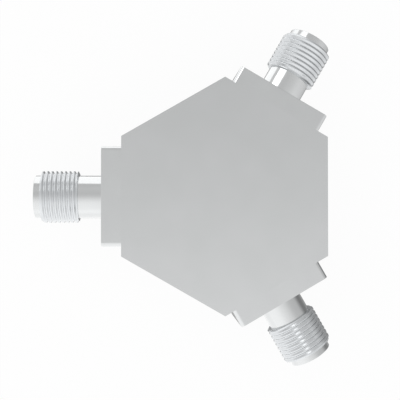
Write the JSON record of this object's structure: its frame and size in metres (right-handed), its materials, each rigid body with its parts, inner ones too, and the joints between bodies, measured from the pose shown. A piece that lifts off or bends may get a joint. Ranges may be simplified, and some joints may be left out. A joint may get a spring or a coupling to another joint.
{
  "type": "rf power splitter",
  "caption": "Hexagonal metal block with flange-mounted threaded coaxial jacks on alternate flats; it splits an RF signal from its input jack equally between its output jacks.",
  "frame": {"origin": "centre of the rear face of the hexagonal housing", "axes": "+Z from the rear cover to the plain front face, -X along the input jack, +Y towards output 1"},
  "size_m": [0.0363, 0.0418, 0.0127],
  "materials": {
    "housing_metal": "smooth satin, nickel plated",
    "jack_steel": "turned and passivated stainless steel",
    "screw_steel": "plain stainless steel",
    "gold_plate": "gold plated copper alloy",
    "ptfe": "white PTFE, smooth",
    "ceramic": "fired alumina",
    "resistor_body": "glass-coated chip resistor"
  },
  "bodies": {
    "root": {"housing": "housing_metal", "rear_cover": "housing_metal", "cover_screws": "screw_steel", "splitter_board": "ceramic", "board_tracks": "gold_plate", "input_resistor": "resistor_body", "output_1_resistor": "resistor_body", "output_2_resistor": "resistor_body", "input_jack_shell": "jack_steel", "output_1_jack_shell": "jack_steel", "output_2_jack_shell": "jack_steel", "input_insulator": "ptfe", "output_1_insulator": "ptfe", "output_2_insulator": "ptfe", "input_contact": "gold_plate", "output_1_contact": "gold_plate", "output_2_contact": "gold_plate", "input_flange_screws": "screw_steel", "output_1_flange_screws": "screw_steel", "output_2_flange_screws": "screw_steel"}
  },
  "joints": []
}
